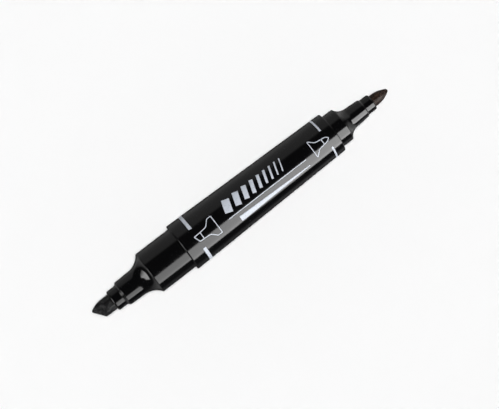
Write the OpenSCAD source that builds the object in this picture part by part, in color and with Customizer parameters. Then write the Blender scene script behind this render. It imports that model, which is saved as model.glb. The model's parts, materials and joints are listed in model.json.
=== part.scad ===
// Twin-tip permanent marker with both caps off: a tapered barrel that holds one ink reservoir, with a chisel
// nib at its broad end and a bullet nib at its fine end. The axis lies along X with the bullet tip at +X, and
// the origin is the middle of the marker on that axis.

/* [Barrel] */
// Length of the barrel
barrel_len = 59.35; // [45:0.05:80]
// Outside diameter at the broad end
barrel_broad_d = 16.5; // [15.5:0.1:18.5]
// Outside diameter at the fine end
barrel_fine_d = 13.9; // [13.3:0.1:15.5]
// Chamfer on the outer edges of both ends
barrel_edge = 0.25; // [0.05:0.05:0.4]
// Number of inner ribs that hold the reservoir off the wall, so that air can pass along it
rib_count = 6; // [3:1:8]
// Angle that each rib takes, in degrees
rib_angle = 8; // [4:1:15]
// Room between the ribs' ends and the plugs
rib_room = 0.5; // [0.2:0.1:2]

/* [Cap seats] */
// Step from the barrel down to the broad cap seat
broad_step = 1; // [0.7:0.05:1.3]
// Length of the broad cap seat
broad_seat_len = 12.75; // [8:0.05:18]
// Step from the barrel down to the fine cap seat
fine_step = 1.2; // [0.8:0.05:1.4]
// Length of the fine cap seat
fine_seat_len = 4.1; // [2.5:0.05:8]

/* [Front sections] */
// Wall around the reservoir
front_wall = 0.9; // [0.8:0.05:1.1]
// Width of the shoulder behind each cap seat, which stops on the barrel's end
plug_shoulder = 0.25; // [0.15:0.05:0.4]
// Length of the broad plug inside the barrel
broad_plug_len = 10; // [6:0.5:14]
// Length of the fine plug inside the barrel
fine_plug_len = 8; // [6:0.5:12]
// Length of the concave flare from the broad cap seat to the neck
broad_flare_len = 5.35; // [4:0.05:8]
// Length of the broad neck
broad_neck_len = 5.05; // [2:0.05:8]
// How far the broad neck stands out from the collar at its front, on each side
broad_neck_step = 0.75; // [0.4:0.05:1]
// How much wider the broad neck is at its back, on each side
broad_neck_growth = 0.25; // [0.05:0.05:0.5]
// Length of the chamfer in front of the broad neck
broad_chamfer_len = 0.9; // [0.1:0.05:1.5]
// Length of the concave flare from the fine cap seat to the neck
fine_flare_len = 3.5; // [3:0.1:6]
// Length of the fine neck
fine_neck_len = 4.75; // [2:0.05:8]
// How far the fine neck stands out from the collar at its front, on each side
fine_neck_step = 0.4; // [0.3:0.05:0.8]
// How much wider the fine neck is at its back, on each side
fine_neck_growth = 0.5; // [0.05:0.05:0.8]
// Length of the chamfer in front of the fine neck
fine_chamfer_len = 0.45; // [0.1:0.05:1]
// Flat ring left between each neck's chamfer and its bore
neck_land = 0.1; // [0.05:0.05:0.2]
// Depth of the shoulder between the reservoir's room and the front of the cap seat
shoulder_t = 1.2; // [0.8:0.1:1.5]
// Lead-in chamfer at the plug's inner end
plug_lead = 0.4; // [0.2:0.05:0.6]
// Radius of the snap bead's round section
bead_r = 0.5; // [0.3:0.05:0.6]
// How far the snap bead stands out of the plug
bead_h = 0.2; // [0.1:0.05:0.25]
// Distance of the snap bead from the barrel's end
bead_at = 4; // [2:0.5:5]

/* [Nib bushes] */
// Wall of the bushes around the nibs
bush_wall = 0.8; // [0.6:0.05:1]
// Length of the broad bush that stands out of the neck
broad_collar_len = 3.2; // [1.5:0.1:5]
// Length of the fine bush that stands out of the neck
fine_collar_len = 3.2; // [1.5:0.1:5]
// Chamfer on the collars' front edges
collar_edge = 0.25; // [0.05:0.05:0.3]
// Thickness of the flange that stops on the shoulder
flange_t = 1; // [0.6:0.1:1.2]
// Room between the flange's rim and the wall around it
flange_room = 0.4; // [0.2:0.05:0.6]
// Number of air grooves along the bore
vent_count = 3; // [2:1:4]
// Width of an air groove
vent_w = 0.6; // [0.4:0.05:0.9]
// Depth of an air groove
vent_depth = 0.2; // [0.1:0.05:0.45]
// Number of lugs that hold the reservoir off the flange
lug_count = 3; // [3:1:4]
// Height of a lug
lug_h = 1; // [0.5:0.1:1.5]
// Width of a lug
lug_w = 1.2; // [0.8:0.1:1.6]
// Radial length of a lug
lug_len = 0.8; // [0.5:0.1:0.9]
// How far the lugs stay inside the rims of the reservoir and the flange
lug_inset = 0.25; // [0.15:0.05:0.4]

/* [Nibs] */
// Diameter of the chisel nib
chisel_d = 5.4; // [4.8:0.1:5.8]
// Length of the chisel nib in front of its collar
chisel_out = 7.2; // [6:0.1:10]
// Thickness of the chisel's writing edge
chisel_edge_t = 2.4; // [0.8:0.1:3]
// Length of the bevel on each broad face of the chisel
chisel_bevel_len = 5; // [3:0.1:5.8]
// How far the writing edge's long corner lies off the axis
chisel_corner = 1.3; // [0.2:0.1:1.5]
// How far the writing edge runs back between its two corners
chisel_slant = 3; // [1:0.1:4]
// Radius of the rounded side behind the long corner
chisel_side_r = 9.5; // [6:0.1:12]
// Diameter of the bullet nib
bullet_d = 3.8; // [3.2:0.1:4.2]
// Length of the bullet nib in front of its collar
bullet_out = 6.1; // [5.2:0.1:9]
// Radius of the bullet's curved side
bullet_side_r = 8; // [6:0.1:9]
// Radius of the bullet's rounded point
bullet_tip_r = 0.7; // [0.4:0.05:1]
// How deep each nib presses into the reservoir
nib_depth = 5; // [4:0.5:10]
// Length of the point on each nib's inner end
nib_point_len = 3; // [1:0.5:3.5]
// Diameter of the flat on each nib's inner end
nib_point_d = 1.6; // [0.8:0.1:2.4]

/* [Ink reservoir] */
// Thickness of the film around the fibre
film_t = 0.15; // [0.1:0.05:0.3]
// Room between the film and the ribs around it
film_room = 0.15; // [0.1:0.05:0.3]

/* [Fits] */
// Gap left between two faces that are pressed together
press_gap = 0.02; // [0.01:0.01:0.05]

/* [Hidden] */
$fn = 96;

// Room that a cutting shape is given past the face it cuts
past = 1;
// How far a rib reaches into the barrel's wall
rib_bite = 0.3;

// Radii from the barrel inwards
broad_seat_r = barrel_broad_d / 2 - broad_step;
fine_seat_r = barrel_fine_d / 2 - fine_step;
broad_plug_r = broad_seat_r - plug_shoulder;
fine_plug_r = fine_seat_r - plug_shoulder;
broad_room_r = broad_plug_r - front_wall;
fine_room_r = fine_plug_r - front_wall;
film_r = fine_room_r - film_room;
core_r = film_r - film_t - press_gap;
rib_r = film_r + film_room;

// Radii from the nibs outwards
chisel_r = chisel_d / 2;
bullet_r = bullet_d / 2;
broad_collar_r = chisel_r + bush_wall;
fine_collar_r = bullet_r + bush_wall;
point_r = nib_point_d / 2;

// Places along each end, measured outwards from the barrel's end
broad_shoulder_z = broad_seat_len - shoulder_t;
broad_neck_z = broad_seat_len + broad_flare_len;
broad_neck_end_z = broad_neck_z + broad_neck_len;
broad_collar_z = broad_neck_end_z + broad_chamfer_len;
broad_collar_end_z = broad_collar_z + broad_collar_len;
chisel_tip_z = broad_collar_end_z + chisel_out;
fine_shoulder_z = fine_seat_len - shoulder_t;
fine_neck_z = fine_seat_len + fine_flare_len;
fine_neck_end_z = fine_neck_z + fine_neck_len;
fine_collar_z = fine_neck_end_z + fine_chamfer_len;
fine_collar_end_z = fine_collar_z + fine_collar_len;
bullet_tip_z = fine_collar_end_z + bullet_out;

// The reservoir lies between the lugs of the two bushes
stop_depth = flange_t + lug_h + 2 * press_gap;
broad_stop_z = broad_shoulder_z - stop_depth;
fine_stop_z = fine_shoulder_z - stop_depth;

// The marker is centred on its whole length
marker_len = chisel_tip_z + barrel_len + bullet_tip_z;
broad_end_x = chisel_tip_z - marker_len / 2;
fine_end_x = broad_end_x + barrel_len;
reservoir_x0 = broad_end_x - broad_stop_z;
reservoir_x1 = fine_end_x + fine_stop_z;

PLASTIC = [0.06, 0.06, 0.065];
FELT = [0.16, 0.15, 0.15];
BROWN_FELT = [0.26, 0.22, 0.2];
FIBRE = [0.1, 0.1, 0.13];
FILM = [0.75, 0.75, 0.78];

// Turns a profile of radius and place about the X axis
module turned() {
    rotate([0, 90, 0])
        rotate_extrude()
            children();
}

// Carries a shape whose +Z points outwards to the barrel's broad end
module at_broad_end() {
    translate([broad_end_x, 0, 0])
        rotate([0, -90, 0])
            children();
}

// Carries a shape whose +Z points outwards to the barrel's fine end
module at_fine_end() {
    translate([fine_end_x, 0, 0])
        rotate([0, 90, 0])
            children();
}

// Round section of a plug's snap bead, or of the groove that takes it
module bead(plug_r, z, room) {
    translate([plug_r + bead_h - bead_r, z])
        circle(bead_r + room);
}

module barrel() {
    broad_bore_r = broad_plug_r + press_gap;
    fine_bore_r = fine_plug_r + press_gap;
    fine_plug_z = barrel_len - fine_plug_len;
    rib_z0 = broad_plug_len + rib_room;
    rib_z1 = fine_plug_z - rib_room;
    color(PLASTIC)
        translate([broad_end_x, 0, 0]) {
            turned()
                difference() {
                    polygon([
                        [broad_bore_r, 0],
                        [barrel_broad_d / 2 - barrel_edge, 0],
                        [barrel_broad_d / 2, barrel_edge],
                        [barrel_fine_d / 2, barrel_len - barrel_edge],
                        [barrel_fine_d / 2 - barrel_edge, barrel_len],
                        [fine_bore_r, barrel_len],
                        [fine_bore_r, fine_plug_z],
                        [broad_bore_r, broad_plug_len]
                    ]);
                    bead(broad_plug_r, bead_at, press_gap);
                    bead(fine_plug_r, barrel_len - bead_at, press_gap);
                }
            rotate([0, 90, 0])
                for (i = [0 : rib_count - 1])
                    rotate([0, 0, (i + 0.5) * 360 / rib_count - rib_angle / 2])
                        rotate_extrude(angle = rib_angle)
                            polygon([
                                [rib_r, rib_z0],
                                [broad_bore_r + rib_bite, rib_z0],
                                [fine_bore_r + rib_bite, rib_z1],
                                [rib_r, rib_z1]
                            ]);
        }
}

// Front section: plug with its snap bead, cap seat, flare that curves in to the neck, and the bush's bore
module front_section(
    seat_r, plug_len, seat_len, flare_len, neck_end_z, neck_r, neck_growth, collar_r, collar_z
) {
    plug_r = seat_r - plug_shoulder;
    room_r = plug_r - front_wall;
    bore_r = collar_r + press_gap;
    neck_back_r = neck_r + neck_growth;
    rise = seat_r - neck_back_r;
    flare_r = (flare_len * flare_len + rise * rise) / (2 * rise);
    rotate_extrude() {
        difference() {
            polygon([
                [room_r, -plug_len],
                [plug_r - plug_lead, -plug_len],
                [plug_r, plug_lead - plug_len],
                [plug_r, 0],
                [seat_r, 0],
                [seat_r, seat_len],
                [neck_back_r, seat_len + flare_len],
                [neck_r, neck_end_z],
                [bore_r + neck_land, collar_z],
                [bore_r, collar_z],
                [bore_r, seat_len - shoulder_t],
                [room_r, seat_len - shoulder_t]
            ]);
            translate([neck_back_r + flare_r, seat_len + flare_len])
                circle(flare_r);
        }
        bead(plug_r, -bead_at, 0);
    }
}

module broad_front() {
    color(PLASTIC)
        at_broad_end()
            front_section(
                broad_seat_r, broad_plug_len, broad_seat_len, broad_flare_len, broad_neck_end_z,
                broad_collar_r + broad_neck_step, broad_neck_growth, broad_collar_r, broad_collar_z
            );
}

module fine_front() {
    color(PLASTIC)
        at_fine_end()
            front_section(
                fine_seat_r, fine_plug_len, fine_seat_len, fine_flare_len, fine_neck_end_z,
                fine_collar_r + fine_neck_step, fine_neck_growth, fine_collar_r, fine_collar_z
            );
}

// Bush: a tube that grips the nib, with a flange behind the shoulder, air grooves and stop lugs
module nib_bush(nib_r, room_r, shoulder_z, collar_end_z) {
    collar_r = nib_r + bush_wall;
    bore_r = nib_r + press_gap;
    flange_r = room_r - flange_room;
    flange_z = shoulder_z - press_gap;
    back_z = flange_z - flange_t;
    lug_r = min(core_r, flange_r) - lug_inset;
    difference() {
        rotate_extrude()
            polygon([
                [bore_r, back_z],
                [flange_r, back_z],
                [flange_r, flange_z],
                [collar_r, flange_z],
                [collar_r, collar_end_z - collar_edge],
                [collar_r - collar_edge, collar_end_z],
                [bore_r, collar_end_z]
            ]);
        for (i = [0 : vent_count - 1])
            rotate([0, 0, i * 360 / vent_count])
                translate([0, -vent_w / 2, back_z - past])
                    cube([bore_r + vent_depth, vent_w, collar_end_z - back_z + 2 * past]);
    }
    for (i = [0 : lug_count - 1])
        rotate([0, 0, (i + 0.5) * 360 / lug_count])
            translate([lug_r - lug_len, -lug_w / 2, back_z - lug_h])
                cube([lug_len, lug_w, lug_h + flange_t / 2]);
}

module broad_bush() {
    color(PLASTIC)
        at_broad_end()
            nib_bush(chisel_r, broad_room_r, broad_shoulder_z, broad_collar_end_z);
}

module fine_bush() {
    color(PLASTIC)
        at_fine_end()
            nib_bush(bullet_r, fine_room_r, fine_shoulder_z, fine_collar_end_z);
}

// Outline of a nib's rod, with the point that presses into the reservoir
module nib_rod(nib_r, stop_z, tip_z) {
    back_z = stop_z - nib_depth;
    polygon([
        [0, back_z],
        [point_r, back_z],
        [nib_r, back_z + nib_point_len],
        [nib_r, tip_z],
        [0, tip_z]
    ]);
}

// Broad side of the chisel: one side curves in to the long corner, where the slanted writing edge starts
module chisel_side(back_z) {
    bend = chisel_r - chisel_corner;
    bend_len = sqrt(2 * chisel_side_r * bend - bend * bend);
    bend_z = chisel_tip_z - bend_len;
    difference() {
        union() {
            translate([-chisel_r, back_z])
                square([chisel_d, bend_z - back_z]);
            intersection() {
                translate([chisel_r - chisel_side_r, bend_z])
                    circle(chisel_side_r);
                translate([-chisel_r, bend_z - past])
                    square([chisel_d, bend_len + past]);
            }
        }
        polygon([
            [chisel_corner, chisel_tip_z],
            [-chisel_r, chisel_tip_z - chisel_slant],
            [-chisel_r - past, chisel_tip_z - chisel_slant],
            [-chisel_r - past, chisel_tip_z + past],
            [chisel_corner, chisel_tip_z + past]
        ]);
    }
}

module chisel_nib() {
    back_z = broad_stop_z - nib_depth - past;
    bevel_z = chisel_tip_z - chisel_bevel_len;
    color(FELT)
        at_broad_end()
            intersection() {
                rotate_extrude()
                    nib_rod(chisel_r, broad_stop_z, chisel_tip_z);
                rotate([90, 0, 90])
                    linear_extrude(chisel_d + past, center = true)
                        chisel_side(back_z);
                rotate([90, 0, 0])
                    linear_extrude(chisel_d + past, center = true)
                        polygon([
                            [-chisel_r - past, back_z],
                            [chisel_r + past, back_z],
                            [chisel_r + past, bevel_z],
                            [chisel_r, bevel_z],
                            [chisel_edge_t / 2, chisel_tip_z],
                            [-chisel_edge_t / 2, chisel_tip_z],
                            [-chisel_r, bevel_z],
                            [-chisel_r - past, bevel_z]
                        ]);
            }
}

// The bullet's curved side runs from the rod into the round point without an edge
module bullet_nib() {
    side_span = bullet_side_r - bullet_r;
    reach = bullet_side_r - bullet_tip_r;
    tip_centre_z = bullet_tip_z - bullet_tip_r;
    side_z = tip_centre_z - sqrt(reach * reach - side_span * side_span);
    join_z = side_z + bullet_side_r * (tip_centre_z - side_z) / reach;
    color(BROWN_FELT)
        at_fine_end()
            rotate_extrude()
                intersection() {
                    nib_rod(bullet_r, fine_stop_z, bullet_tip_z);
                    union() {
                        translate([0, fine_stop_z - nib_depth])
                            square([bullet_r, side_z - fine_stop_z + nib_depth]);
                        intersection() {
                            translate([-side_span, side_z])
                                circle(bullet_side_r);
                            translate([0, side_z])
                                square([bullet_r, join_z - side_z]);
                        }
                        translate([0, tip_centre_z])
                            circle(bullet_tip_r);
                    }
                }
}

module ink_reservoir() {
    chisel_pocket_r = chisel_r + press_gap;
    bullet_pocket_r = bullet_r + press_gap;
    pocket_flat_r = point_r + press_gap;
    pocket_depth = nib_depth + press_gap;
    straight = nib_depth - nib_point_len;
    color(FIBRE)
        turned()
            polygon([
                [0, reservoir_x0 + pocket_depth],
                [pocket_flat_r, reservoir_x0 + pocket_depth],
                [chisel_pocket_r, reservoir_x0 + straight],
                [chisel_pocket_r, reservoir_x0],
                [core_r, reservoir_x0],
                [core_r, reservoir_x1],
                [bullet_pocket_r, reservoir_x1],
                [bullet_pocket_r, reservoir_x1 - straight],
                [pocket_flat_r, reservoir_x1 - pocket_depth],
                [0, reservoir_x1 - pocket_depth]
            ]);
}

module reservoir_film() {
    color(FILM)
        turned()
            translate([film_r - film_t, reservoir_x0])
                square([film_t, reservoir_x1 - reservoir_x0]);
}

barrel();
broad_front();
fine_front();
broad_bush();
fine_bush();
chisel_nib();
bullet_nib();
ink_reservoir();
reservoir_film();
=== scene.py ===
"""Twin-tip permanent marker with both caps off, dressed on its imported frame.

The plastic pieces are outlines turned about the marker's axis, the nibs are felt skins whose fibres stand in
relief, and the print is thin raised strokes of ink. Places along the axis come from the frame, and the
properties hold the real sizes and colours.
"""

import json
import math

import bpy
import numpy as np
from bpy.props import FloatProperty, FloatVectorProperty, PointerProperty
from mathutils import Matrix, Vector


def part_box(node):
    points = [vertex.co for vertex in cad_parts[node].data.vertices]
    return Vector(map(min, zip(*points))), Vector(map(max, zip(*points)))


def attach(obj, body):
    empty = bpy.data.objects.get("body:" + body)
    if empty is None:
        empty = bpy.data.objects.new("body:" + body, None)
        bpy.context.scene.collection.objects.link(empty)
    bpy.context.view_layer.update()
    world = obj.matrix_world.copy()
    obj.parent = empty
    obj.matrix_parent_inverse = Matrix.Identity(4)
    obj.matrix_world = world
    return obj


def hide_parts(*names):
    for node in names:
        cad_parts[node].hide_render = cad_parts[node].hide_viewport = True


bl_info = {
    "name": "Twin-tip marker",
    "version": (1, 0, 0),
    "blender": (4, 5, 0),
    "location": "View3D > Sidebar > Marker",
    "description": "Dresses a twin-tip permanent marker with gloss plastic, felt nibs and print",
    "category": "Object",
}

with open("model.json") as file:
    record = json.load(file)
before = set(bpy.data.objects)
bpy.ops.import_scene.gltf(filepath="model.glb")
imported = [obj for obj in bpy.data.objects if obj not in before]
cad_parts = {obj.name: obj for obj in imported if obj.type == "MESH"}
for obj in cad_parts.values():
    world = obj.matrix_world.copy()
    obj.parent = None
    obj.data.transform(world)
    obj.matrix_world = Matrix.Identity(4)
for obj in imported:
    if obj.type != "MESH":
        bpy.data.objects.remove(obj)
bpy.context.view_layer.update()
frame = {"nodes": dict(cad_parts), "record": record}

MM = 0.001
BODY = "root"

# The barrel lies on the X axis. Each end of it has a way outwards, a place and a nib, and its cap seat is a
# mount of the record
BARREL_LOW, BARREL_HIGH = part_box("barrel")
BARREL_RADIUS = BARREL_HIGH.z
ENDS = {"broad": (-1, BARREL_LOW.x, "chisel_nib"), "fine": (1, BARREL_HIGH.x, "bullet_nib")}
SEATS = {mount["name"]: mount["dims"] for mount in frame["record"]["mounts"]}

# The stage in metres, measured from the marker's middle
WALL_FOOT, WALL_BEND = 0.9, 0.5
SOFTBOX_DISTANCE, TENT_DISTANCE, LAMP_DISTANCE = 2.5, 3.0, 1.6
PAPER_LAMP_SIDE, PIECE_LAMP_SIDE = 0.2, 0.5
TO_BROAD_END, TO_KEY_SIDE = math.pi, -math.pi / 2


def linear(code):
    """Linear colour of an sRGB hex code: each channel is undone by the sRGB curve."""
    channels = np.array([int(code[i : i + 2], 16) for i in (1, 3, 5)]) / 255
    return tuple(np.where(channels <= 0.04045, channels / 12.92, ((channels + 0.055) / 1.055) ** 2.4))


def size(name, description, millimetres):
    """A length that a user can change."""
    return FloatProperty(
        name=name, description=description, default=millimetres * MM, unit="LENGTH", precision=5
    )


def angle(name, description, degrees):
    """An angle that a user can change."""
    return FloatProperty(
        name=name, description=description, default=math.radians(degrees), subtype="ANGLE"
    )


def colour(name, description, code):
    """A colour that a user can change."""
    return FloatVectorProperty(
        name=name, description=description, default=linear(code), subtype="COLOR", min=0, max=1
    )


def level(name, description, value):
    """A plain number that a user can change."""
    return FloatProperty(name=name, description=description, default=value, min=0)


def end_lengths(plug, flare, neck, neck_step, neck_growth, chamfer, lip, foot, collar):
    """The properties of one end of the marker, whose defaults are in millimetres."""
    return {
        "plug": size("Plug", "Length of the plug in the barrel", plug),
        "flare": size("Flare", "Length of the concave flare in front of the cap seat", flare),
        "neck": size("Neck", "Length of the neck", neck),
        "neck_step": size("Neck step", "How far the neck's front stands out from the collar", neck_step),
        "neck_growth": size("Neck growth", "How much wider the neck is at its back", neck_growth),
        "chamfer": size("Chamfer", "Length of the chamfer and its foot in front of the neck", chamfer),
        "lip": size("Lip", "Length of the flatter lip at each end of the chamfer", lip),
        "foot": size("Foot", "Length of the sleeve that the chamfer ends on", foot),
        "collar": size("Collar", "Length of the bush that stands out of the neck", collar),
    }


class MarkerBarrel(bpy.types.PropertyGroup):
    """Sizes of the barrel and of the fits that all plastic pieces share."""

    fine_radius: size("Fine radius", "Outside radius at the fine end", 6.95)
    end_round: size("End round", "Rounding of the barrel's outer edges", 0.3)
    seat_round: size("Seat round", "Rounding where a cap seat meets its flare", 0.32)
    collar_round: size("Collar round", "Rounding of the front edge of a collar", 0.5)
    mould_round: size("Mould round", "Rounding of the other outer edges", 0.06)
    lip_lean: angle("Lip lean", "How steeply the lips of a neck's chamfer fall", 26)
    plug_shoulder: size("Plug shoulder", "Step from a cap seat down to its plug", 0.25)
    wall: size("Wall", "Wall of the front sections around the reservoir", 0.9)
    sleeve: size("Sleeve", "Wall of the thin sleeve in front of a neck's chamfer", 0.06)
    bush_wall: size("Bush wall", "Wall of the bushes around the nibs", 0.8)
    shoulder: size("Shoulder", "Depth of the shoulder behind the front of a cap seat", 1.2)
    flange: size("Flange", "Thickness of a bush's flange", 1.0)
    flange_room: size("Flange room", "Room between a flange and the wall around it", 0.4)
    vent_width: size("Vent width", "Width of an air groove in a bush's bore", 0.6)
    vent_depth: size("Vent depth", "Depth of an air groove in a bush's bore", 0.2)
    vent_slope: size("Vent slope", "Width over which an air groove's side slopes", 0.1)
    press_gap: size("Press gap", "Gap between faces that are pressed together", 0.02)


class MarkerBroadEnd(bpy.types.PropertyGroup):
    """Lengths of the broad end, from the barrel outwards."""

    __annotations__ = end_lengths(
        plug=10, flare=5.35, neck=5.05, neck_step=0.75, neck_growth=0.25,
        chamfer=0.9, lip=0.18, foot=0.12, collar=3.2,
    )


class MarkerFineEnd(bpy.types.PropertyGroup):
    """Lengths of the fine end, from the barrel outwards."""

    __annotations__ = end_lengths(
        plug=8, flare=3.5, neck=4.75, neck_step=0.4, neck_growth=0.5,
        chamfer=0.45, lip=0.02, foot=0.06, collar=3.2,
    )


class MarkerNibs(bpy.types.PropertyGroup):
    """Sizes of the two felt nibs."""

    edge: size("Edge", "Thickness of the chisel's writing edge", 2.4)
    bevel: size("Bevel", "Length of the bevel on each broad face of the chisel", 5)
    corner: size("Corner", "How far the chisel's long corner lies off the axis", 1.3)
    slant: size("Slant", "How far the writing edge runs back between its corners", 3)
    chisel_side: size("Chisel side", "Radius of the rounded side behind the long corner", 9.5)
    corner_round: size("Corner round", "Rounding of the two corners of the writing edge", 0.5)
    bullet_side: size("Bullet side", "Radius of the bullet's curved side", 8)
    bullet_tip: size("Bullet tip", "Radius of the bullet's rounded point", 0.7)
    point: size("Point", "Length of the point that presses into the reservoir", 3)
    point_flat: size("Point flat", "Radius of the flat on the inner point", 0.8)
    crown: size("Crown", "Half-width of the oval that crowns the chisel's bevels", 3.6)
    felt_round: size("Felt round", "How softly two faces of the felt meet", 0.07)
    fibre_relief: size("Fibre relief", "Depth between the felt's fibres", 0.14)


class MarkerPrint(bpy.types.PropertyGroup):
    """Sizes of the print on the barrel."""

    stroke: size("Stroke", "Width of the pictograms' lines", 0.28)
    rule: size("Rule", "Width of the long rule", 0.26)
    ink: size("Ink", "Height of the ink on the barrel", 0.02)
    turn: angle("Turn", "How far the print's middle line is turned from the top", 5)
    ring_gap: angle("Ring gap", "Angle that the broken rings leave open", 52)
    broad_ring: size("Broad ring", "Width of the ring at the broad end", 1.1)
    fine_ring: size("Fine ring", "Width of the ring at the fine end", 0.62)


class MarkerColours(bpy.types.PropertyGroup):
    """Colours of the finishes."""

    plastic: colour("Plastic", "Black polypropylene of barrel, fronts and bushes", "#040405")
    chisel: colour("Chisel", "Ink-soaked felt of the chisel nib", "#0A0A0B")
    chisel_fibre: colour("Chisel fibre", "Pale fibres of the chisel nib", "#303031")
    bullet: colour("Bullet", "Ink-soaked felt of the bullet nib", "#17110E")
    bullet_fibre: colour("Bullet fibre", "Pale fibres of the bullet nib", "#574338")
    ink: colour("Ink", "White printing ink", "#CBD1DB")
    fibre: colour("Fibre", "Ink-soaked fibre of the reservoir", "#1B1B22")
    film: colour("Film", "Film around the reservoir", "#C9C9CF")
    paper: colour("Paper", "Paper of the floor and backdrop", "#F8F8F8")


class MarkerStudio(bpy.types.PropertyGroup):
    """Camera and lights, measured from the marker's middle."""

    pitch: angle("Pitch", "How far the camera leans from overhead towards the broad end", 4.7)
    roll: angle("Roll", "How far the marker's axis climbs to the right in the picture", 37.64)
    distance: size("Distance", "From the camera to the point that it looks at", 578)
    along: size("Along", "How far the point looked at lies along the axis", 1.4)
    aside: size("Aside", "How far the point looked at lies off the axis, away from +Y", 2.13)
    lens: level("Lens", "Focal length in millimetres", 133.5)
    key_broad: level("Key, broad side", "Radiance of the key softbox towards the broad end", 3.4)
    key_fine: level("Key, fine side", "Radiance of the key softbox towards the fine end", 7.4)
    end_near: level("End, near side", "Radiance of the end softbox on the key's side", 6.0)
    end_far: level("End, far side", "Radiance of the end softbox on the far side", 1.0)
    tent_top: level("Tent, top", "Radiance of the dark roof of the tent", 0.04)
    tent_far: level("Tent, far wall", "Radiance of the tent's wall across from the key", 0.34)
    tent_fine: level("Tent, fine corner", "Radiance of the tent past the fine end, below the key", 0.85)
    tent_skirt: level("Tent, skirt", "Radiance of the tent's skirt below the key", 0.1)
    tent_broad: level("Tent, broad skirt", "Radiance of the tent's skirt past the broad end", 0.5)
    paper_lamp: level("Paper lamp", "Power in watts of the lamp over the paper", 22.7)
    paper_lamp_lean: angle("Paper lamp lean", "How far that lamp leans from overhead to the broad end", 2)
    piece_lamp: level("Piece lamp", "Power in watts of the lamp over the pieces", 23.5)
    piece_lamp_lean: angle("Piece lamp lean", "How far that lamp leans from overhead to the key's side", 25)
    room: level("Room", "Radiance of the room, as fill for what is dull", 0.1)


class Marker(bpy.types.PropertyGroup):
    """All properties of the marker."""

    barrel: PointerProperty(type=MarkerBarrel)
    broad: PointerProperty(type=MarkerBroadEnd)
    fine: PointerProperty(type=MarkerFineEnd)
    nibs: PointerProperty(type=MarkerNibs)
    printing: PointerProperty(type=MarkerPrint)
    colours: PointerProperty(type=MarkerColours)
    studio: PointerProperty(type=MarkerStudio)


# Outlines and skins


def unit(vectors):
    """Vectors brought to length one; a vector of no length stays as it is."""
    return vectors / np.maximum(np.linalg.norm(vectors, axis=-1, keepdims=True), 1e-12)


def smooth(value, start, end):
    """Share that goes from 0 at start to 1 at end along the curve 3 s^2 - 2 s^3."""
    share = np.clip((value - start) / (end - start), 0, 1)
    return share**2 * (3 - 2 * share)


def rounded(corners, steps=12):
    """Outline whose corners (x, y, round) become arcs.

    An arc of radius q touches a corner's two sides at q / tan(h) from it, where h is half of the corner's
    angle, and its centre lies q / sin(h) from the corner on the bisector. Its points swing about that centre
    from the first side to the second. A corner with no rounding stays one point.
    """
    corners = np.asarray(corners, float)
    at, q = corners[:, :2], corners[:, 2:]
    back = unit(np.roll(at, 1, axis=0) - at)
    ahead = unit(np.roll(at, -1, axis=0) - at)
    h = np.maximum(np.arccos(np.clip((back * ahead).sum(1, keepdims=True), -1, 1)) / 2, 1e-6)
    centre = at + unit(back + ahead) * q / np.sin(h)
    first = (at + back * q / np.tan(h) - centre)[:, None]
    last = (at + ahead * q / np.tan(h) - centre)[:, None]
    swing = np.maximum(np.pi - 2 * h, 1e-6)[:, None]
    share = np.linspace(0, 1, steps)[None, :, None]
    arcs = (np.sin((1 - share) * swing) * first + np.sin(share * swing) * last) / np.sin(swing)
    points = (centre[:, None] + arcs).reshape(-1, 2)
    apart = np.linalg.norm(np.diff(points, axis=0), axis=1) > 1e-9
    return points[np.concatenate([[True], apart])]


def spaced(points, step, closed):
    """Outline whose long sides are cut into parts of about a step, closer together towards a side's ends.

    The part number k of n on a side lies at the share (1 - cos(pi k / n)) / 2 of it, so that the shading of a
    long straight side isn't bent by the round edges at its ends.
    """
    start = points if closed else points[:-1]
    way = (np.roll(points, -1, axis=0) if closed else points[1:]) - start
    count = np.maximum(np.ceil(np.linalg.norm(way, axis=1) / step).astype(int), 1)
    side = np.repeat(np.arange(len(count)), count)
    part = np.arange(len(side)) - np.repeat(np.cumsum(count) - count, count)
    share = (1 - np.cos(np.pi * part / count[side])) / 2
    made = start[side] + way[side] * share[:, None]
    return made if closed else np.vstack([made, points[-1:]])


def arc(centre, radius, swing):
    """Points (x + q sin s, y + q cos s) about a centre (x, y), for a radius q and the angles s of a swing."""
    return np.column_stack([centre[0] + radius * np.sin(swing), centre[1] + radius * np.cos(swing)])


def turned(outline, turns=192):
    """Outline turned about the axis: (x, r) at the angle a from the top lies at (x, -r sin a, r cos a)."""
    a = np.linspace(0, 2 * np.pi, turns, endpoint=False)[:, None]
    x, r = outline[:, 0], outline[:, 1]
    return np.stack([x + 0 * a, -np.sin(a) * r, np.cos(a) * r], axis=-1)


def quads(place):
    """Quads between neighbours on a grid of point numbers."""
    near, far = place[:, :-1], place[:, 1:]
    return np.stack([near[:-1], near[1:], far[1:], far[:-1]], axis=-1).reshape(-1, 4).tolist()


def closed_skin(grid, looped, offset):
    """Points and faces of one closed skin over a grid whose first index goes round.

    Quads join each grid point to the next one round and the next one along. A looped grid joins its last ring
    to its first, and any other is closed with fans to the middles of its end rings.
    """
    around, along = grid.shape[:2]
    place = np.arange(around * along).reshape(around, along) + offset
    points = grid.reshape(-1, 3)
    faces = quads(np.pad(place, ((0, 1), (0, int(looped))), mode="wrap"))
    if not looped:
        points = np.vstack([points, grid[:, [0, -1]].mean(axis=0)])
        first, last = place[:, 0], place[:, -1]
        pole = np.full(around, offset + around * along)
        faces += np.stack([np.roll(first, -1), first, pole], axis=-1).tolist()
        faces += np.stack([last, np.roll(last, -1), pole + 1], axis=-1).tolist()
    return points, faces


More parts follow.
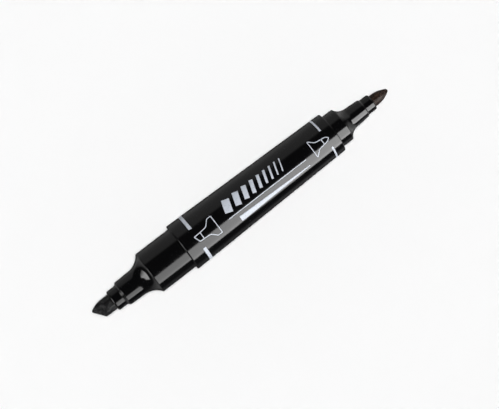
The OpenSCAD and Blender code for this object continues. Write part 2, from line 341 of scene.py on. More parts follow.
def skin(name, shells):
    """Mesh of one or more closed skins, each a grid and whether it is looped, with faces turned outwards.

    A skin whose signed volume, the sum of its corners' triple products, comes out negative is inside out, and
    its faces are turned round.
    """
    points, faces = np.empty((0, 3)), []
    for grid, looped in shells:
        new_points, new_faces = closed_skin(grid, looped, len(points))
        points = np.vstack([points, new_points])
        halves = [face[2:] + face[:1] for face in new_faces if len(face) == 4]
        corners = np.array([face[:3] for face in new_faces] + halves)
        a, b, c = points[corners[:, 0]], points[corners[:, 1]], points[corners[:, 2]]
        inside_out = (a * np.cross(b, c)).sum() < 0
        faces += [face[::-1] for face in new_faces] if inside_out else new_faces
    mesh = bpy.data.meshes.new(name)
    mesh.from_pydata(points, [], faces)
    mesh.shade_smooth()
    return mesh


def add_object(mesh, material):
    """Object of a mesh with its material, at the origin."""
    made = bpy.data.objects.new(mesh.name, mesh)
    bpy.context.scene.collection.objects.link(made)
    mesh.materials.append(material)
    return made


def add_piece(mesh, material, slot, *nodes):
    """Piece that rides on the marker's body and stands for the named nodes of the frame."""
    made = add_object(mesh, material)
    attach(made, BODY)
    if nodes:
        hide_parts(*nodes)


# The plastic pieces


class End:
    """One end of the marker: its stations outwards from the barrel's end, and its radii."""

    def __init__(self, marker, name):
        shared, sizes, seat = marker.barrel, getattr(marker, name), SEATS[name + "_cap_seat"]
        self.name, self.sizes = name, sizes
        self.way, self.x, nib = ENDS[name]
        nib_low, nib_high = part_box(nib)
        self.seat_radius, self.seat = seat["r_mm"] * MM, seat["length_mm"] * MM
        self.plug_radius = self.seat_radius - shared.plug_shoulder
        self.room_radius = self.plug_radius - shared.wall
        self.nib_radius = (nib_high.y - nib_low.y) / 2
        self.nib_back, self.nib_tip = sorted(self.way * (place.x - self.x) for place in (nib_low, nib_high))
        self.collar_radius = self.nib_radius + shared.bush_wall
        self.neck_radius = self.collar_radius + sizes.neck_step
        self.neck_back = self.seat + sizes.flare
        self.neck_front = self.neck_back + sizes.neck
        self.neck_end = self.neck_front + sizes.chamfer
        self.collar_end = self.neck_end + sizes.collar
        self.inner_shoulder = self.seat - shared.shoulder

    def place(self, outline):
        """Outline with its stations carried to places on the X axis."""
        return np.column_stack([self.x + self.way * outline[:, 0], outline[:, 1]])


def cone_radius(marker, x):
    """Radius of the barrel's outer cone at places on the X axis: it changes evenly from end to end."""
    share = (x - BARREL_LOW.x) / (BARREL_HIGH.x - BARREL_LOW.x)
    return BARREL_RADIUS + (marker.barrel.fine_radius - BARREL_RADIUS) * share


def barrel_skin(marker):
    """The barrel: a tapered tube turned from its outline, square at both ends."""
    sizes = marker.barrel
    broad, fine = End(marker, "broad"), End(marker, "fine")
    broad_bore = broad.plug_radius + sizes.press_gap
    fine_bore = fine.plug_radius + sizes.press_gap
    outline = rounded([
        (broad.x, broad_bore, 0),
        (broad.x, BARREL_RADIUS, sizes.end_round),
        (fine.x, sizes.fine_radius, sizes.end_round),
        (fine.x, fine_bore, 0),
        (fine.x - fine.sizes.plug, fine_bore, 0),
        (broad.x + broad.sizes.plug, broad_bore, 0),
    ])
    grid = turned(spaced(outline, step=1.5 * MM, closed=True), turns=240)
    return skin("barrel_tube", [(grid, True)])


def front_skin(marker, end):
    """A front section: plug, cap seat, flare and neck turned from one outline.

    The flare is the largest arc that touches the neck's side and ends at the rounding of the cap seat's edge.
    The chamfer in front of the neck has a flatter lip at each end, and ends on a thin sleeve round the bush.
    """
    shared, sizes = marker.barrel, end.sizes
    bore = end.collar_radius + shared.press_gap
    neck_back_radius = end.neck_radius + sizes.neck_growth
    rise = end.seat_radius - neck_back_radius
    flare_arc = (sizes.flare**2 + rise**2) / (2 * rise)
    bend_at = end.neck_back - flare_arc * math.tan(math.asin(sizes.flare / flare_arc) / 2)
    edge = np.array([end.seat, end.seat_radius])
    bend = np.array([bend_at, neck_back_radius])
    front = np.array([end.neck_front, end.neck_radius])
    half_angle = math.acos(unit(edge - bend) @ unit(front - bend)) / 2
    lip_drop = sizes.lip * math.tan(shared.lip_lean)
    foot, sleeve = end.neck_end - sizes.foot, bore + shared.sleeve
    edge_share = shared.seat_round / math.tan(math.acos(unit(bend - edge) @ (-1, 0)) / 2)
    flare_round = (np.linalg.norm(edge - bend) - edge_share) * math.tan(half_angle)
    outline = rounded([
        (-sizes.plug, end.room_radius, 0),
        (-sizes.plug, end.plug_radius, 0),
        (0, end.plug_radius, 0),
        (0, end.seat_radius, 0),
        (*edge, shared.seat_round),
        (*bend, flare_round),
        (*front, shared.mould_round),
        (end.neck_front + sizes.lip, end.neck_radius - lip_drop, shared.mould_round),
        (foot - sizes.lip, sleeve + lip_drop, shared.mould_round),
        (foot, sleeve, shared.mould_round),
        (end.neck_end, sleeve, shared.sleeve / 2),
        (end.neck_end, bore, 0),
        (end.inner_shoulder, bore, 0),
        (end.inner_shoulder, end.room_radius, 0),
    ], steps=20)
    grid = turned(spaced(end.place(outline), step=0.7 * MM, closed=True))
    return skin(end.name + "_front_section", [(grid, True)])


def bush_skin(marker, end):
    """A nib bush: a flanged tube turned from its outline, with air grooves along the bore.

    An air groove moves the bore outwards by its depth wherever the arc from the groove's middle is under half
    of its width, with sides that slope. Only the bore moves: the groove fades out a little way outside it.
    """
    shared = marker.barrel
    grooves, fade_end, fade = 3, 0.25 * MM, 0.2 * MM
    bore = end.nib_radius + shared.press_gap
    flange_face = end.inner_shoulder - shared.press_gap
    flange_radius = end.room_radius - shared.flange_room
    outline = rounded([
        (flange_face - shared.flange, bore, 0),
        (flange_face - shared.flange, flange_radius, 0),
        (flange_face, flange_radius, 0),
        (flange_face, end.collar_radius, 0),
        (end.collar_end, end.collar_radius, shared.collar_round),
        (end.collar_end, bore, shared.mould_round),
    ])
    grid = turned(spaced(end.place(outline), step=0.5 * MM, closed=True), turns=288)
    radius = np.hypot(grid[..., 1], grid[..., 2])
    turn = np.arctan2(-grid[..., 1], end.way * -grid[..., 2])
    off_groove = np.abs(np.angle(np.exp(1j * grooves * turn))) / grooves * bore
    in_groove = np.clip((shared.vent_width / 2 - off_groove) / shared.vent_slope + 0.5, 0, 1)
    at_bore = np.clip((bore + fade_end - radius) / fade, 0, 1)
    grid[..., 1:] *= (1 + in_groove * at_bore * shared.vent_depth / radius)[..., None]
    return skin(end.name + "_nib_bush", [(grid, True)])


# The felt nibs


def felt_relief(nibs, end, station, thickness, thin, along, across, seed):
    """Heights of the fibres that run along a nib, on a grid of turns (rows) and rings (columns).

    White noise is smoothed over some columns and over fewer rows, by multiplying its spectrum with a bell
    curve. The streaks that this leaves are cut off at half of the relief in and out, and fade inside the bush
    and where the felt is thin.
    """
    noise = np.random.default_rng(seed).standard_normal(thickness.shape)
    rows = np.fft.fftfreq(thickness.shape[0])[:, None]
    columns = np.fft.fftfreq(thickness.shape[1])[None, :]
    bell = np.exp(-2 * np.pi**2 * ((rows * across) ** 2 + (columns * along) ** 2))
    streaks = np.fft.ifft2(np.fft.fft2(noise) * bell).real
    fibres = np.clip(streaks / (4 * streaks.std()), -0.5, 0.5)
    shown = smooth(station, end.collar_end - nibs.fibre_relief, end.collar_end + nibs.fibre_relief)
    return nibs.fibre_relief * shown * np.clip(thickness / thin, 0, 1) * fibres


def bullet_skin(marker, end):
    """The bullet nib: a rod with a curved side that runs into a round point, turned, with fibres in relief.

    The side is an arc of a large radius that leaves the rod without an edge, and the point's arc touches it.
    The last ring lies a degree short of the axis, and a fan closes it.
    """
    nibs = marker.nibs
    hidden_rings, rod_rings, side_rings, point_rings = 40, 28, 90, 60
    span = nibs.bullet_side - end.nib_radius
    reach = nibs.bullet_side - nibs.bullet_tip
    tip_centre = end.nib_tip - nibs.bullet_tip
    side_start = tip_centre - math.sqrt(reach**2 - span**2)
    meet = math.acos(span / reach)
    side = np.linspace(0, meet, side_rings)
    point = np.linspace(meet, math.radians(89), point_rings)[1:]
    rod = np.concatenate([
        np.linspace(end.nib_back + nibs.point, end.collar_end, hidden_rings, endpoint=False),
        np.linspace(end.collar_end, side_start, rod_rings, endpoint=False),
    ])
    outline = np.vstack([
        [end.nib_back, nibs.point_flat],
        np.column_stack([rod, end.nib_radius + 0 * rod]),
        arc((side_start, -span), nibs.bullet_side, side),
        arc((tip_centre, 0), nibs.bullet_tip, point),
    ])
    grid = turned(end.place(outline), turns=200)
    radius = np.hypot(grid[..., 1], grid[..., 2])
    relief = felt_relief(nibs, end, outline[:, 0], radius, nibs.bullet_tip, along=9, across=4, seed=3)
    grid[..., 1:] *= (1 + relief / radius)[..., None]
    return skin("bullet_felt_nib", [(grid, False)])


def chisel_skin(marker, end):
    """The chisel nib: slices across the axis whose outlines are the soft least of several distances.

    Seen on its broad face, one side curves along an arc to the long corner, and the writing edge slants back
    from there. In a slice, the felt ends in each direction at the rod's circle, at the oval of the bevels, at
    the curved side or at the writing edge, whichever is nearest. The soft least of these distances d is
    -k log(sum of exp(-d / k)), which rounds the edges between two faces over about k. The side and the
    writing edge ease in where the arc starts, and before it they are held too far out to count.
    """
    nibs, r, tip, k = marker.nibs, end.nib_radius, end.nib_tip, marker.nibs.felt_round
    turns, hidden_rings, shown_rings = 220, 60, 170
    # The arc leaves the long corner room for its rounding, and a fan closes the skin past the last ring
    arc_share, arc_points, last_ring = 0.88, 40, 0.96 * np.pi / 2
    # A slice's middle stays inside the rod, and the thinnest slices keep a little width
    middle_share, thin, least_reach = 0.9, 0.5 * MM, 0.004 * MM
    held_out = 12 * k
    bend = r - nibs.corner
    bend_start = tip - math.sqrt(2 * nibs.chisel_side * bend - bend**2)
    swing = math.asin((tip - bend_start) / nibs.chisel_side) * np.linspace(0, arc_share, arc_points)
    curve = arc((bend_start, r - nibs.chisel_side), nibs.chisel_side, swing)
    face = rounded([
        (end.nib_back, r, 0),
        *np.column_stack([curve, 0 * swing]),
        (tip, nibs.corner, nibs.corner_round),
        (tip - nibs.slant, -r, nibs.corner_round),
        (end.nib_back, -r, 0),
    ])
    foremost = face[:, 0].argmax()
    reach_out = face[foremost, 0] - end.collar_end
    station = np.concatenate([
        np.linspace(end.nib_back, end.collar_end, hidden_rings, endpoint=False),
        end.collar_end + reach_out * np.sin(np.linspace(0, last_ring, shown_rings)),
    ])[None, :]
    rod = np.minimum(r, nibs.point_flat + (r - nibs.point_flat) * (station - end.nib_back) / nibs.point)
    high = np.interp(station, *face[: foremost + 1].T)
    low = np.interp(station, *face[: foremost - 1 : -1].T)
    half = r + (tip - nibs.bevel - station) * (r - nibs.edge / 2) / nibs.bevel
    middle = np.clip((high + low) / 2, -middle_share * rod, middle_share * rod)
    a = np.linspace(0, 2 * np.pi, turns, endpoint=False)[:, None]
    to_high, to_top = np.cos(a), np.sin(a)
    circle = -middle * to_high + np.sqrt(np.maximum(rod**2 - (middle * to_top) ** 2, 0))
    side = np.where(to_high > 0, high - middle, middle - low) / np.maximum(np.abs(to_high), 1e-6)
    side = side + held_out * (1 - smooth(station, bend_start, bend_start + nibs.corner))
    bevel = 1 / np.hypot(to_high / nibs.crown, to_top / half)
    distance = np.stack([circle, side, bevel])
    reach = -k * np.log(np.exp(-(distance - distance.min(0)) / k).sum(0)) + distance.min(0)
    relief = felt_relief(nibs, end, station, reach, thin, along=7, across=3.5, seed=5)
    reach = np.maximum(reach + relief, least_reach)
    x = end.x + end.way * station + 0 * a
    grid = np.stack([x, middle + reach * to_high, reach * to_top], axis=-1)
    return skin("chisel_felt_nib", [(grid, False)])


# The print


def stroke(marker, corners, width, closed=False):
    """Stroke of ink along a flat path of corners (along, across, round) in millimetres, as a shell of a skin.

    The path's normal carries a flat section across the stroke's width, raised by the ink's height and sunk a
    little into the barrel at its sides. The width may change evenly from the path's start to its end. Where
    the barrel has the radius r, a distance across becomes the angle across / r from the print's middle line.
    """
    sizes = marker.printing
    points_across, sunk = 9, -0.5
    path = spaced(rounded(np.asarray(corners, float) * MM), step=0.3 * MM, closed=closed)
    ahead = np.roll(path, -1, 0) - np.roll(path, 1, 0) if closed else np.gradient(path, axis=0)
    normal = unit(ahead)[:, ::-1] * (-1, 1)
    gone = np.concatenate([[0], np.cumsum(np.linalg.norm(np.diff(path, axis=0), axis=1))])
    widths = np.interp(gone, (0, gone[-1]), np.broadcast_to(width, 2))
    section = np.pad(np.linspace(-1, 1, points_across), 1, mode="edge")
    flat = path[:, None] + (normal * widths[:, None] / 2)[:, None] * section[None, :, None]
    height = np.pad(np.ones(points_across), 1, constant_values=sunk) * sizes.ink
    x = BARREL_LOW.x + flat[..., 0]
    r = cone_radius(marker, x)
    a = flat[..., 1] / r + sizes.turn
    grid = np.stack([x, -(r + height) * np.sin(a), (r + height) * np.cos(a)], axis=-1)
    return grid.swapaxes(0, 1), closed


def ring(marker, along, width):
    """Broken ring round the barrel at a distance along in millimetres, open where the pictograms are."""
    r = cone_radius(marker, BARREL_LOW.x + along * MM) / MM
    gap = marker.printing.ring_gap / 2
    return stroke(marker, [(along, gap * r, 0), (along, (2 * math.pi - gap) * r, 0)], width)


def print_motifs(marker):
    """The strokes of each motif: rings, nib pictograms, bars that grow finer, a rule and a taper.

    Distances along run in millimetres from the barrel's broad end, and distances across from the middle line.
    """
    sizes = marker.printing
    broad_ring_at, fine_ring_at = 5.15, 55.75
    chisel_body = [
        (6.85, -1.05, 0.15), (9.3, -1.3, 1.4), (11.0, -3.1, 0.4), (12.5, -3.15, 0.15),
        (12.5, 3.25, 0.15), (11.0, 3.2, 0.4), (9.2, 1.4, 1.4), (6.85, 1.25, 0.15),
    ]
    chisel_tip = [(6.85, -1.05, 0), (4.55, -0.95, 0.15), (5.35, 1.18, 0.15), (6.85, 1.25, 0)]
    bullet_body = [
        (50.2, -3.1, 0.15), (52.1, -1.25, 1.5), (54.25, -0.95, 0.15),
        (54.25, 0.95, 0.15), (52.1, 1.25, 1.5), (50.2, 3.1, 0.15),
    ]
    bullet_tip = [
        (54.25, -0.95, 0), (55.6, -0.75, 0.6), (56.6, 0, 0.3), (55.6, 0.75, 0.6), (54.25, 0.95, 0),
    ]
    bars_start, bar_gap, bar_widths = 17.2, 1.45, np.geomspace(2.6, 0.4, 9)
    bar_lean, bar_foot, bar_top = 0.7, -0.4, -4.6
    bar_places = bars_start + np.cumsum(bar_widths + bar_gap) - bar_widths / 2 - bar_gap
    rule = [(16.4, 1.2, 0), (46.8, 1.2, 0)]
    taper, taper_widths = [(19.6, 3.6, 0), (46.8, 3.6, 0)], (2.0 * MM, 0.3 * MM)
    return {
        "print_broad_ring": [ring(marker, broad_ring_at, sizes.broad_ring)],
        "print_fine_ring": [ring(marker, fine_ring_at, sizes.fine_ring)],
        "print_chisel_picture": [
            stroke(marker, chisel_body, sizes.stroke, closed=True),
            stroke(marker, chisel_tip, sizes.stroke),
        ],
        "print_bullet_picture": [
            stroke(marker, bullet_body, sizes.stroke, closed=True),
            stroke(marker, bullet_tip, sizes.stroke),
        ],
        "print_width_bars": [
            stroke(marker, [(at - bar_lean, bar_foot, 0), (at + bar_lean, bar_top, 0)], width * MM)
            for at, width in zip(bar_places, bar_widths)
        ],
        "print_rule": [stroke(marker, rule, sizes.rule)],
        "print_taper": [stroke(marker, taper, taper_widths)],
    }


# Finishes


def add(tree, kind, inputs=None, stops=(), **settings):
    """Adds a node with its settings and a ramp's stops, and gives its outputs.

    An input that is given a socket is linked to it, and any other value is set.
    """
    made = tree.nodes.new("ShaderNode" + kind)
    for name, value in settings.items():
        setattr(made, name, value)
    for number, (position, tint) in enumerate(stops):
        made.color_ramp.elements[number].position = position
        made.color_ramp.elements[number].color = rgba(tint)
    for name, value in (inputs or {}).items():
        if isinstance(value, bpy.types.NodeSocket):
            tree.links.new(value, made.inputs[name])
        else:
            made.inputs[name].default_value = value
    return made.outputs


def new_material(name, finish, *tints, **settings):
    """Node material whose surface is the shader that a finish adds to its tree."""
    material = bpy.data.materials.new(name)
    material.use_nodes = True
    material.node_tree.nodes.clear()
    surface = finish(material.node_tree, *tints, **settings)
    add(material.node_tree, "OutputMaterial", {"Surface": surface})
    return material


def per_metre(millimetres):
    """Scale of a pattern whose grain is so many millimetres wide, for coordinates in metres."""
    return 1 / (millimetres * MM)


def rgba(values):
    """A colour with full opacity."""
    return (*values, 1)


def times(factor, tint):
    """A colour made paler or darker by a factor."""
    return tuple(factor * channel for channel in tint)


def gloss_moulded_polypropylene(tree, plastic):
    """Polypropylene moulded in a polished tool: black right through, with a clear gloss.

    It mirrors the lights with sharp edges. Cooling leaves a faint wave of some millimetres in its skin, and
    handling leaves cloudy patches that are a little less glossy.
    """
    place = add(tree, "TexCoord")["Object"]
    wave = add(tree, "TexNoise", {"Vector": place, "Scale": per_metre(7), "Detail": 1.0})["Fac"]
    cloud = add(tree, "TexNoise", {"Vector": place, "Scale": per_metre(2.2), "Detail": 4.0})["Fac"]
    rough = add(tree, "MapRange", {
        "Value": cloud, "From Min": 0.3, "From Max": 0.7, "To Min": 0.09, "To Max": 0.14,
    })["Result"]
    bump = add(tree, "Bump", {"Height": wave, "Strength": 1.0, "Distance": 0.002 * MM})["Normal"]
    return add(tree, "BsdfPrincipled", {
        "Base Color": rgba(plastic), "Roughness": rough, "IOR": 1.49, "Normal": bump,
    })["BSDF"]


def pressed_felt(tree, soaked, pale, bundle, damp):
    """Polyester fibres pressed into a rod and soaked with ink: dull, dark, streaked along the rod.

    Single fibres are some hundredths of a millimetre wide, too fine to show, so a streak stands for a bundle.
    Damp ink gives the fibres a faint shine.
    """
    place = add(tree, "TexCoord")["Object"]
    drawn = add(tree, "Mapping", {
        "Vector": place, "Scale": (per_metre(4 * bundle), per_metre(bundle), per_metre(bundle)),
    })["Vector"]
    fibres = add(tree, "TexNoise", {"Vector": drawn, "Scale": 1.0, "Detail": 3.0, "Roughness": 0.65})["Fac"]
    specks = add(tree, "TexNoise", {"Vector": place, "Scale": per_metre(1.5 * bundle), "Detail": 2.0})["Fac"]
    both = add(tree, "Math", {0: fibres, 1: specks}, operation="MULTIPLY")["Value"]
    tone = add(tree, "ValToRGB", {"Fac": both}, [(0.2, soaked), (0.45, pale)])["Color"]
    bump = add(tree, "Bump", {"Height": fibres, "Strength": 1.0, "Distance": 0.09 * MM})["Normal"]
    return add(tree, "BsdfPrincipled", {
        "Base Color": tone, "Roughness": 0.29, "Specular IOR Level": damp, "Normal": bump,
    })["BSDF"]


def pad_printed_ink(tree, ink):
    """White ink printed on by a soft pad: an even, half-dull film, a little thinner in places."""
    place = add(tree, "TexCoord")["Object"]
    film = add(tree, "TexNoise", {"Vector": place, "Scale": per_metre(0.5), "Detail": 3.0})["Fac"]
    rough = add(tree, "MapRange", {
        "Value": film, "From Min": 0.3, "From Max": 0.7, "To Min": 0.38, "To Max": 0.5,
    })["Result"]
    tone = add(tree, "ValToRGB", {"Fac": film}, [(0.3, times(0.82, ink)), (0.5, ink)])["Color"]
    return add(tree, "BsdfPrincipled", {"Base Color": tone, "Roughness": rough, "IOR": 1.5})["BSDF"]


def streaked(tree, along, across, detail, tones, relief, gloss):
    """Tone and relief in streaks, so many millimetres long and wide, that run along the marker."""
    place = add(tree, "TexCoord")["Object"]
    drawn = add(tree, "Mapping", {
        "Vector": place, "Scale": (per_metre(along), per_metre(across), per_metre(across)),
    })["Vector"]
    streaks = add(tree, "TexNoise", {"Vector": drawn, "Scale": 1.0, "Detail": detail})["Fac"]
    tone = add(tree, "ValToRGB", {"Fac": streaks}, tones)["Color"]
    bump = add(tree, "Bump", {"Height": streaks, **relief})["Normal"]
    return add(tree, "BsdfPrincipled", {"Base Color": tone, "Normal": bump, **gloss})["BSDF"]


def bundled_fibre(tree, soaked):
    """Polyester fibres bundled into a wick and soaked with ink: a dark, damp brush of fine lines."""
    return streaked(
        tree, along=20, across=0.3, detail=3.0, tones=[(0.35, soaked), (0.7, times(3, soaked))],
        relief={"Strength": 0.6, "Distance": 0.1 * MM}, gloss={"Roughness": 0.6},
    )


def drawn_film(tree, film):
    """Thin polyester film drawn tight round the fibre: smooth and bright, with faint wrinkles along it."""
    return streaked(
        tree, along=12, across=1.2, detail=2.0, tones=[(0.4, times(0.85, film)), (0.6, film)],
        relief={"Strength": 0.5, "Distance": 0.05 * MM}, gloss={"Roughness": 0.2, "IOR": 1.57},
    )


def matt_paper(tree, paper):
    """Matt paper roll: even and white, with a tooth too fine to see."""
    place = add(tree, "TexCoord")["Object"]
    tooth = add(tree, "TexNoise", {"Vector": place, "Scale": per_metre(0.8), "Detail": 2.0})["Fac"]
    bump = add(tree, "Bump", {"Height": tooth, "Strength": 0.1, "Distance": 0.02 * MM})["Normal"]
    return add(tree, "BsdfDiffuse", {"Color": rgba(paper), "Normal": bump})["BSDF"]


def lit_fabric(tree):
    """Diffusing fabric of softboxes and tent: it glows with the radiance that its mesh holds."""
    glow = add(tree, "Attribute", attribute_name="radiance")["Fac"]
    return add(tree, "Emission", {"Strength": glow})["Emission"]


# The stage


def add_sheet(mesh, material):
    """Sheet for the stage: an object of a mesh with its material, at the origin."""
    made = add_object(mesh, material)
    return made


def backdrop_mesh(marker):
    """Paper that lies under the marker and rises all round into a wall, so that it fills every view.

    In rings of growing radius, its height is nothing out to the foot of the wall and then a quarter of a
    circle. The whole sheet leans with the barrel's underside, which touches it along its length.
    """
    flat_rings, wall_rings, turns, smallest = 30, 24, 96, 0.01
    flat = np.geomspace(smallest, WALL_FOOT, flat_rings)
    rise = np.linspace(0, np.pi / 2, wall_rings)[1:]
    radius = np.concatenate([flat, WALL_FOOT + WALL_BEND * np.sin(rise)])
    height = np.concatenate([0 * flat, WALL_BEND * (1 - np.cos(rise))])
    a = np.linspace(0, 2 * np.pi, turns, endpoint=False)[:, None]
    x, y = radius * np.cos(a), radius * np.sin(a)
    points = np.stack([x, y, height - cone_radius(marker, x)], axis=-1).reshape(-1, 3)
    place = np.arange(x.size).reshape(x.shape)
    around = np.vstack([place, place[:1]])[::-1]
    mesh = bpy.data.meshes.new("paper_floor")
    mesh.from_pydata(points, [], quads(around) + [place[:, 0].tolist()])
    mesh.shade_smooth()
    return mesh


def lean_way(lean, azimuth):
    """Directions that lean from straight up by an angle, towards an azimuth counted from +X."""
    parts = np.sin(lean) * np.cos(azimuth), np.sin(lean) * np.sin(azimuth), np.cos(lean)
    return np.stack(np.broadcast_arrays(*parts), axis=-1)


def axis_way(turn, tilt):
    """Directions turned about the marker's axis from straight up towards -Y, and tilted towards +X."""
    parts = np.sin(tilt), -np.cos(tilt) * np.sin(turn), np.cos(tilt) * np.cos(turn)
    return np.stack(np.broadcast_arrays(*parts), axis=-1)


def glow_sheet(name, ways, distance, radiance, fabric):
    """Sheet that fills a grid of directions at a distance, and that only the gloss of the pieces shows."""
    place = np.arange(ways.size // 3).reshape(ways.shape[:2])
    glow = np.broadcast_to(radiance, place.shape).ravel().astype(np.float32)
    mesh = bpy.data.meshes.new(name)
    mesh.from_pydata((ways * distance).reshape(-1, 3), [], quads(place))
    mesh.attributes.new("radiance", "FLOAT", "POINT").data.foreach_set("value", glow)
    made = add_sheet(mesh, fabric)
    made.visible_camera = made.visible_diffuse = made.visible_shadow = False


def key_softbox(studio, fabric):
    """Key softbox over the near side, between two turns about the axis, with its angles in degrees.

    Its upper edge is cut off towards the broad end and steps down a little towards the fine end, and its
    lower edge is bowed. Its radiance climbs towards the fine end and towards the lower edge.
    """
    tilt = np.linspace(-11, 40, 103)[:, None]
    share = np.linspace(0, 1, 60)[None, :]
    cut = 24 * np.clip((6 - tilt) / 17, 0, 1)
    step = 2 * smooth(tilt, 7, 14)
    bow = 6 * np.abs(tilt - 12) / 22
    upper, lower = 25 + cut + step, 82 - bow
    turn = upper + (lower - upper) * share
    radiance = studio.key_broad + (studio.key_fine - studio.key_broad) * smooth(tilt, -2, 14)
    radiance = radiance * (0.99 + 0.04 * share + 0.22 * smooth(share, 0.6, 1))
    ways = axis_way(np.radians(turn), np.radians(tilt))
    glow_sheet("key_softbox", ways, SOFTBOX_DISTANCE, radiance, fabric)


def end_softbox(studio, fabric):
    """Softbox past the broad end, with its angles in degrees.

    Its upper edge is cut at the far corner and falls towards the key, and it fades on the far side.
    """
    azimuth = np.linspace(149, 200, 103)[:, None]
    share = np.linspace(0, 1, 40)[None, :]
    cut = 9 * smooth(azimuth, 164, 149)
    fall = 16 * smooth(azimuth, 170, 200)
    upper, lower = 44 + cut + fall, 82
    lean = upper + (lower - upper) * share
    radiance = studio.end_far + (studio.end_near - studio.end_far) * smooth(azimuth, 146, 176)
    ways = lean_way(np.radians(lean), np.radians(azimuth))
    glow_sheet("end_softbox", ways, SOFTBOX_DISTANCE, radiance, fabric)


def light_tent(studio, fabric):
    """Tent around the set, with a dark roof.

    Its wall across from the key is grey, paler past the fine end, with a top edge that climbs to that end.
    Its corner past the fine end and below the key is pale, and it has a dim skirt, paler past the broad end.
    Each part is a product of smooth steps in the x, y and z of a direction.
    """
    azimuth = np.linspace(0, 2 * np.pi, 181)[:, None]
    lean = np.linspace(0, np.pi, 121)[None, :]
    ways = lean_way(lean, azimuth)
    x, y, z = np.moveaxis(ways, -1, 0)
    top = 0.67 + np.where(x < 0, 2.2, 0.4) * x
    far = smooth(y, 0, 0.4) * smooth(z - top, 0.07, -0.07) * smooth(z, -0.95, -0.6)
    far = far * (1 + smooth(x, 0.2, 0.7))
    below_key = smooth(y, 0.05, -0.35) * smooth(z, 0.5, 0.15) * smooth(z, -0.9, -0.5)
    fine = smooth(x - 0.35 * z, 0.25, 0.65) * below_key
    skirt = smooth(z, -0.35, -0.6) * smooth(z, -1, -0.7) * smooth(y, 0.6, -0.2)
    broad = smooth(z, -0.1, -0.35) * smooth(x, -0.3, -0.9)
    radiance = (
        studio.tent_top + studio.tent_far * far + studio.tent_fine * fine
        + studio.tent_skirt * skirt + studio.tent_broad * broad
    )
    glow_sheet("light_tent", ways, TENT_DISTANCE, radiance, fabric)


def add_camera(studio):
    """Camera over the marker, leaning to the broad end and rolled so that the axis climbs to the right."""
    pitch, roll = studio.pitch, studio.roll
    back = Vector((-math.sin(pitch), 0, math.cos(pitch)))
    along = Vector((math.cos(pitch), 0, math.sin(pitch)))
    aside = along.cross(back)
    right = math.cos(roll) * along + math.sin(roll) * aside
    up = math.sin(roll) * along - math.cos(roll) * aside
    data = bpy.data.cameras.new("camera")
    data.sensor_fit = "HORIZONTAL"
    data.lens = studio.lens
    data.clip_start, data.clip_end = 0.01, 10
    camera = bpy.data.objects.new("camera", data)
    bpy.context.scene.collection.objects.link(camera)
    place = Vector((studio.along, -studio.aside, 0)) + back * studio.distance
    turn = Matrix((right, up, back)).transposed()
    camera.matrix_world = Matrix.Translation(place) @ turn.to_4x4()
    bpy.context.scene.camera = camera


def add_lamp(name, watts, side, way, lit):
    """Soft square lamp that faces the marker's middle, lights only the objects named and leaves no glint."""
    data = bpy.data.lights.new(name, "AREA")
    data.size, data.energy = side, watts
    lamp = bpy.data.objects.new(name, data)
    lamp.location = LAMP_DISTANCE * way
    lamp.rotation_euler = Vector(way).to_track_quat("Z", "Y").to_euler()
    lamp.visible_glossy = lamp.visible_camera = False
    lamp.light_linking.receiver_collection = bpy.data.collections.new(name + "_lights")
    for made in lit:
        lamp.light_linking.receiver_collection.objects.link(made)
    bpy.context.scene.collection.objects.link(lamp)


def add_lights(studio, pieces, paper):
    """Softboxes and tent for the gloss, and soft lamps for everything that is dull.

    The paper's lamp hangs next to the camera, so that the marker hides most of its own shadow.
    """
    fabric = new_material("lit_fabric", lit_fabric)
    key_softbox(studio, fabric)
    end_softbox(studio, fabric)
    light_tent(studio, fabric)
    over_paper = lean_way(studio.paper_lamp_lean, TO_BROAD_END)
    over_pieces = lean_way(studio.piece_lamp_lean, TO_KEY_SIDE)
    add_lamp("paper_lamp", studio.paper_lamp, PAPER_LAMP_SIDE, over_paper, [paper])
    add_lamp("piece_lamp", studio.piece_lamp, PIECE_LAMP_SIDE, over_pieces, pieces)
    world = bpy.data.worlds.new("room")
    world.use_nodes = True
    world.node_tree.nodes.clear()
    glow = add(world.node_tree, "Background", {"Strength": studio.room})["Background"]
    add(world.node_tree, "OutputWorld", {"Surface": glow})
    bpy.context.scene.world = world


# Operators


class MARKER_OT_barrel(bpy.types.Operator):
    """Build the barrel."""

    bl_idname = "marker.barrel"
    bl_label = "Barrel"

    def execute(self, context):
        marker = context.scene.marker
        name = "gloss_moulded_polypropylene_barrel"
        gloss = new_material(name, gloss_moulded_polypropylene, marker.colours.plastic)
        add_piece(barrel_skin(marker), gloss, "barrel_plastic", "barrel")
        return {"FINISHED"}


class MARKER_OT_fronts(bpy.types.Operator):
    """Build the front sections and the nib bushes."""

    bl_idname = "marker.fronts"
    bl_label = "Front sections and bushes"

    def execute(self, context):
        marker = context.scene.marker
        name = "gloss_moulded_polypropylene_fronts"
        gloss = new_material(name, gloss_moulded_polypropylene, marker.colours.plastic)
        for end in (End(marker, "broad"), End(marker, "fine")):
            add_piece(front_skin(marker, end), gloss, "front_plastic", end.name + "_front")
            add_piece(bush_skin(marker, end), gloss, "front_plastic", end.name + "_bush")
        return {"FINISHED"}


class MARKER_OT_nibs(bpy.types.Operator):
    """Build the chisel nib and the bullet nib."""

    bl_idname = "marker.nibs"
    bl_label = "Felt nibs"

    def execute(self, context):
        marker = context.scene.marker
        tints = marker.colours
        black = new_material(
            "pressed_felt_black", pressed_felt, tints.chisel, tints.chisel_fibre, bundle=0.3, damp=0.26
        )
        brown = new_material(
            "pressed_felt_brown", pressed_felt, tints.bullet, tints.bullet_fibre, bundle=0.25, damp=0.13
        )
        add_piece(chisel_skin(marker, End(marker, "broad")), black, "chisel_felt", "chisel_nib")
        add_piece(bullet_skin(marker, End(marker, "fine")), brown, "bullet_felt", "bullet_nib")
        return {"FINISHED"}


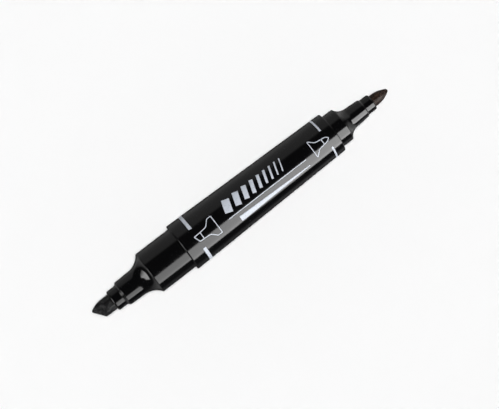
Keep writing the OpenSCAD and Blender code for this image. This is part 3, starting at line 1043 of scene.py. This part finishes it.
class MARKER_OT_reservoir(bpy.types.Operator):
    """Finish the reservoir and its film, whose shapes come from the frame."""

    bl_idname = "marker.reservoir"
    bl_label = "Ink reservoir"

    def execute(self, context):
        tints = context.scene.marker.colours
        finishes = {
            "ink_reservoir": new_material("bundled_polyester_fibre", bundled_fibre, tints.fibre),
            "reservoir_film": new_material("drawn_polyester_film", drawn_film, tints.film),
        }
        for node, finish in finishes.items():
            slots = frame["nodes"][node].data.materials
            slots.clear()
            slots.append(finish)
        return {"FINISHED"}


class MARKER_OT_printing(bpy.types.Operator):
    """Print the barrel with rings, nib pictograms and a scale of line widths."""

    bl_idname = "marker.printing"
    bl_label = "Print"

    def execute(self, context):
        marker = context.scene.marker
        ink = new_material("pad_printed_ink_white", pad_printed_ink, marker.colours.ink)
        for name, strokes in print_motifs(marker).items():
            add_piece(skin(name, strokes), ink, "print_ink")
        return {"FINISHED"}


class MARKER_OT_stage(bpy.types.Operator):
    """Set up the paper floor, the softboxes, the tent, the lamps and the camera."""

    bl_idname = "marker.stage"
    bl_label = "Stage"

    def execute(self, context):
        marker = context.scene.marker
        pieces = [made for made in context.scene.objects if made.type == "MESH"]
        paper = new_material("matt_paper_roll", matt_paper, marker.colours.paper)
        floor = add_sheet(backdrop_mesh(marker), paper)
        floor.visible_glossy = floor.visible_shadow = False
        add_lights(marker.studio, pieces, floor)
        add_camera(marker.studio)
        context.scene.view_settings.view_transform = "Standard"
        return {"FINISHED"}


class MARKER_PT_sidebar(bpy.types.Panel):
    """Sidebar with a button for each group of pieces and with their properties."""

    bl_idname = "MARKER_PT_sidebar"
    bl_label = "Twin-tip marker"
    bl_space_type = "VIEW_3D"
    bl_region_type = "UI"
    bl_category = "Marker"

    def draw(self, context):
        for operator in OPERATORS:
            self.layout.operator(operator.bl_idname)
        for group_name in Marker.__annotations__:
            group = getattr(context.scene.marker, group_name)
            box = self.layout.box()
            box.label(text=group_name.capitalize())
            for name in type(group).__annotations__:
                box.prop(group, name)


OPERATORS = (
    MARKER_OT_barrel, MARKER_OT_fronts, MARKER_OT_nibs,
    MARKER_OT_reservoir, MARKER_OT_printing, MARKER_OT_stage,
)
CLASSES = (
    MarkerBarrel, MarkerBroadEnd, MarkerFineEnd, MarkerNibs, MarkerPrint, MarkerColours, MarkerStudio, Marker,
    *OPERATORS, MARKER_PT_sidebar,
)


def register():
    """Registers the classes and gives each scene the marker's properties."""
    for cls in CLASSES:
        bpy.utils.register_class(cls)
    bpy.types.Scene.marker = PointerProperty(type=Marker)


def unregister():
    """Takes the properties and the classes away again."""
    del bpy.types.Scene.marker
    for cls in reversed(CLASSES):
        bpy.utils.unregister_class(cls)


def main():
    register()
    bpy.ops.marker.barrel()
    bpy.ops.marker.fronts()
    bpy.ops.marker.nibs()
    bpy.ops.marker.reservoir()
    bpy.ops.marker.printing()
    bpy.ops.marker.stage()


if __name__ == "__main__":
    main()
